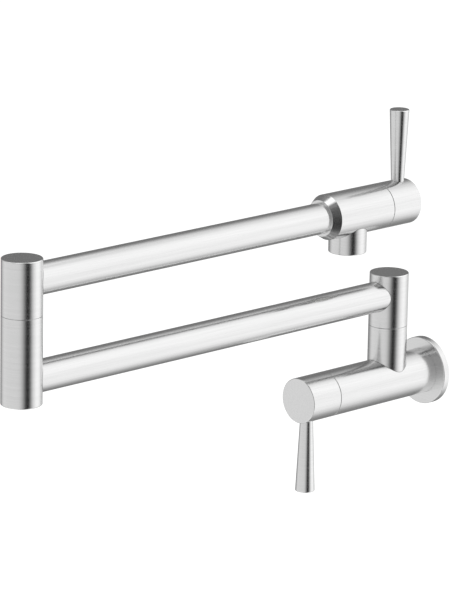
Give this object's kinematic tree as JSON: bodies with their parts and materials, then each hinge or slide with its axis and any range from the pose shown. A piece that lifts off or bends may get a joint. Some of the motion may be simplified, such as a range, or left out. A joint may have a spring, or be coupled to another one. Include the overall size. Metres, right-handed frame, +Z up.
{
  "type": "wall mounted pot filler",
  "caption": "Wall mounted pot filler with two folding swivel arms, a lever valve at the wall and a lever valve at the spout, in brushed stainless steel.",
  "frame": {"origin": "centre of the threaded inlet's mouth, in the plane of the wall", "axes": "+Y into the wall along the inlet's axis, so the filler stands out towards -Y; +Z up; +X to the right of someone who faces the wall"},
  "size_m": [0.049, 0.397, 0.2655],
  "materials": {
    "brushed_stainless": "fine brushed stainless steel, satin",
    "plain_stainless": "turned stainless steel, unpolished",
    "turned_brass": "machined brass",
    "black_rubber": "matt moulded rubber",
    "white_ceramic": "lapped ceramic",
    "pale_plastic": "matt moulded plastic"
  },
  "bodies": {
    "wall_body": {"wall_flange": "brushed_stainless", "flange_gasket": "black_rubber", "flange_ring": "black_rubber", "inlet_body": "brushed_stainless", "post_base": "brushed_stainless", "inlet_strainer": "plain_stainless", "inlet_feed_tube": "turned_brass", "inlet_feed_seal": "black_rubber", "inlet_seat_seal": "black_rubber", "inlet_fixed_disc": "white_ceramic", "inlet_cartridge": "turned_brass", "inlet_cartridge_seal": "black_rubber", "inlet_cartridge_nut": "turned_brass", "shoulder_spigot": "turned_brass", "shoulder_rings": "black_rubber", "shoulder_washer": "pale_plastic"},
    "inlet_handle": {"inlet_hub": "brushed_stainless", "inlet_lever": "brushed_stainless", "inlet_lever_stud": "plain_stainless", "inlet_stem": "turned_brass", "inlet_stem_rings": "black_rubber", "inlet_stem_clip": "plain_stainless", "inlet_moving_disc": "white_ceramic"},
    "lower_arm": {"shoulder_barrel": "brushed_stainless", "shoulder_lock_screw": "plain_stainless", "lower_tube": "brushed_stainless", "elbow_lower_barrel": "brushed_stainless", "elbow_plug": "plain_stainless", "elbow_plug_ring": "black_rubber", "elbow_washer": "pale_plastic"},
    "upper_arm": {"elbow_upper_barrel": "brushed_stainless", "elbow_spigot": "turned_brass", "elbow_rings": "black_rubber", "elbow_thrust_washer": "pale_plastic", "elbow_clip": "plain_stainless", "upper_tube": "brushed_stainless", "spout_valve_body": "brushed_stainless", "spout_outlet": "brushed_stainless", "aerator_washer": "black_rubber", "aerator_housing": "plain_stainless", "aerator_insert": "pale_plastic", "spout_seat_seal": "black_rubber", "spout_fixed_disc": "white_ceramic", "spout_cartridge": "turned_brass", "spout_cartridge_seal": "black_rubber", "spout_cartridge_nut": "turned_brass"},
    "spout_handle": {"spout_hub": "brushed_stainless", "spout_lever": "brushed_stainless", "spout_lever_stud": "plain_stainless", "spout_stem": "turned_brass", "spout_stem_rings": "black_rubber", "spout_stem_clip": "plain_stainless", "spout_moving_disc": "white_ceramic"}
  },
  "joints": [
    {"name": "shoulder_swivel", "type": "hinge", "parent": "wall_body", "child": "lower_arm", "pos_m": [0, -0.04, 0.0632], "axis": [0, 0, 1], "range_deg": [-90, 90]},
    {"name": "elbow_swivel", "type": "hinge", "parent": "lower_arm", "child": "upper_arm", "pos_m": [0, -0.383, 0.13], "axis": [0, 0, 1], "continuous": true},
    {"name": "inlet_lever_turn", "type": "hinge", "parent": "wall_body", "child": "inlet_handle", "pos_m": [0, -0.1008, 0], "axis": [0, -1, 0], "range_deg": [0, 90]},
    {"name": "spout_lever_turn", "type": "hinge", "parent": "upper_arm", "child": "spout_handle", "pos_m": [0, -0.0528, 0.13], "axis": [0, 1, 0], "range_deg": [0, 90]}
  ]
}
